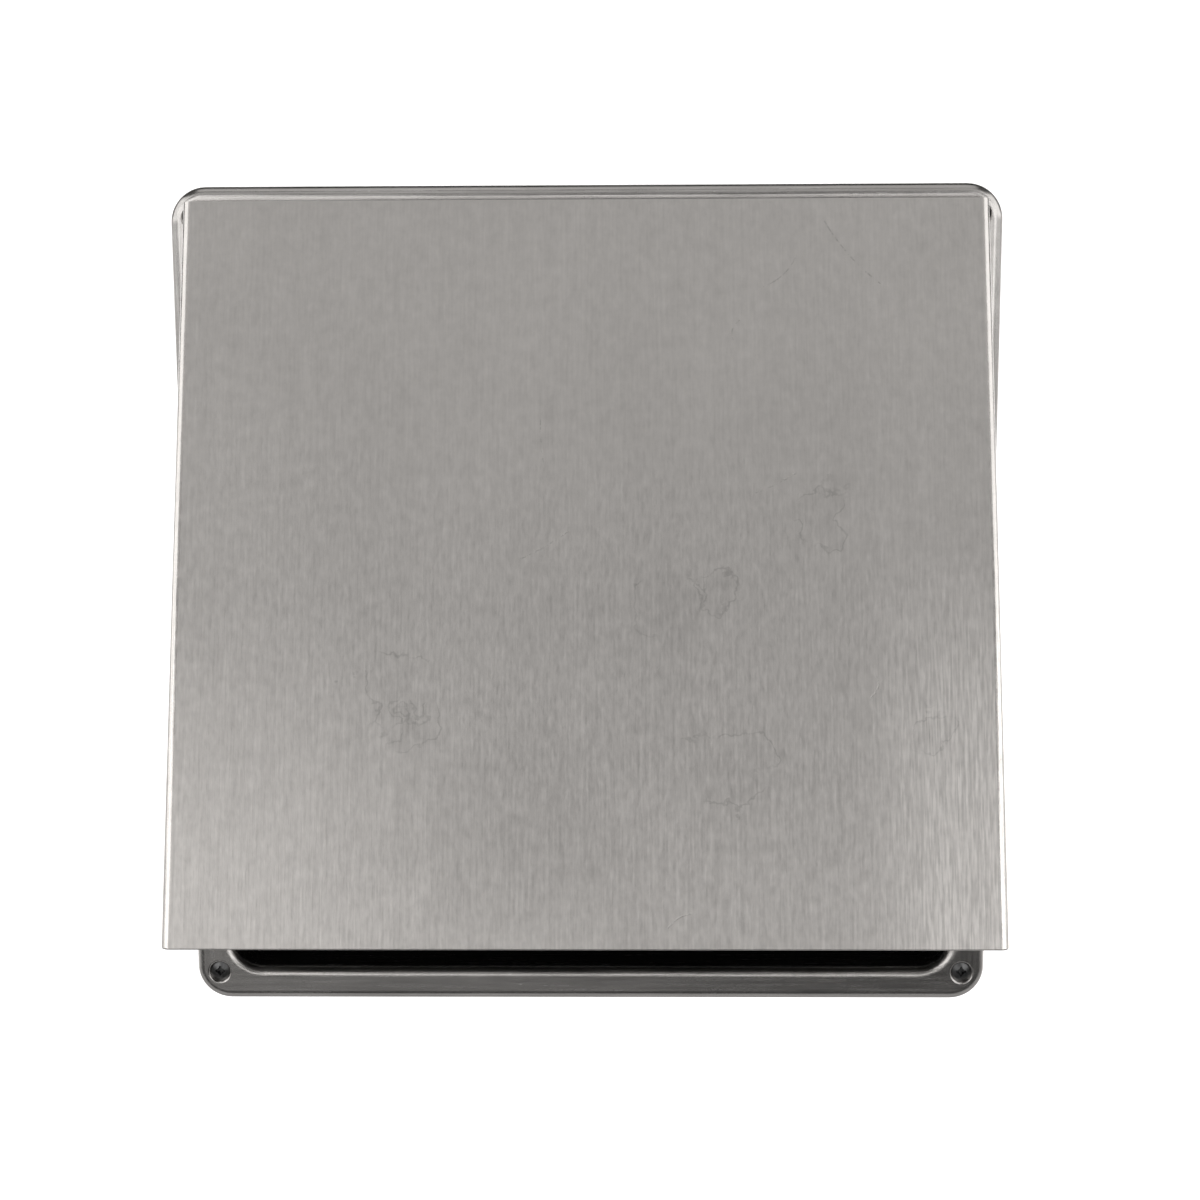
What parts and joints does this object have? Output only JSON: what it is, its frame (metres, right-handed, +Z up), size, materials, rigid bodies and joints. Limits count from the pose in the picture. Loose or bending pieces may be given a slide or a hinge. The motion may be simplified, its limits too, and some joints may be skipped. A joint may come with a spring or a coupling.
{
  "type": "recessed tissue roll dispenser",
  "caption": "Wall-recessed steel dispenser for one tissue roll: drawn flange, deep box, sprung roller and a sloping hood hinged at its top edge.",
  "frame": {"origin": "centre of the flange, in the plane of its rear rim, which is the wall face", "axes": "+X to the right seen from the room, +Y back into the wall, +Z up; the front faces -Y"},
  "size_m": [0.157, 0.1297, 0.1604],
  "materials": {
    "brushed_face": "satin, brushed",
    "mill_sheet": "mill finish",
    "black_coat": "matt black",
    "rivet_metal": "plain",
    "hinge_steel": "plain",
    "screw_steel": "dark bright",
    "zinc_bar": "zinc plated",
    "roller_plastic": "moulded",
    "spring_wire": "drawn wire"
  },
  "bodies": {
    "wall_frame": {"face_flange": "brushed_face", "box_wrapper": "black_coat", "box_back_panel": "black_coat", "left_roller_socket": "mill_sheet", "right_roller_socket": "mill_sheet", "socket_rivets": "rivet_metal", "hinge_frame_leaf": "hinge_steel", "hinge_pin": "hinge_steel", "mounting_screws": "screw_steel", "top_clamp_bar": "zinc_bar", "bottom_clamp_bar": "zinc_bar", "clamp_washers": "screw_steel", "clamp_nuts": "screw_steel"},
    "hood": {"hood_panel": "brushed_face", "hinge_hood_leaf": "hinge_steel"},
    "roller_sleeve_body": {"roller_sleeve": "roller_plastic", "roller_spring": "spring_wire"},
    "roller_core_body": {"roller_core": "roller_plastic"}
  },
  "joints": [
    {"name": "hood_lift", "type": "hinge", "parent": "wall_frame", "child": "hood", "pos_m": [0, -0.00661, 0.07631], "axis": [-1, 0, 0], "range_deg": [0, 90]},
    {"name": "roller_spin", "type": "hinge", "parent": "wall_frame", "child": "roller_sleeve_body", "pos_m": [0, 0.013, 0], "axis": [1, 0, 0], "continuous": true},
    {"name": "roller_compress", "type": "slide", "parent": "roller_sleeve_body", "child": "roller_core_body", "axis": [-1, 0, 0], "range_m": [0, 0.008], "stiffness_N_per_m": 400, "springref_m": -0.012, "deforming": ["roller_spring"]}
  ]
}
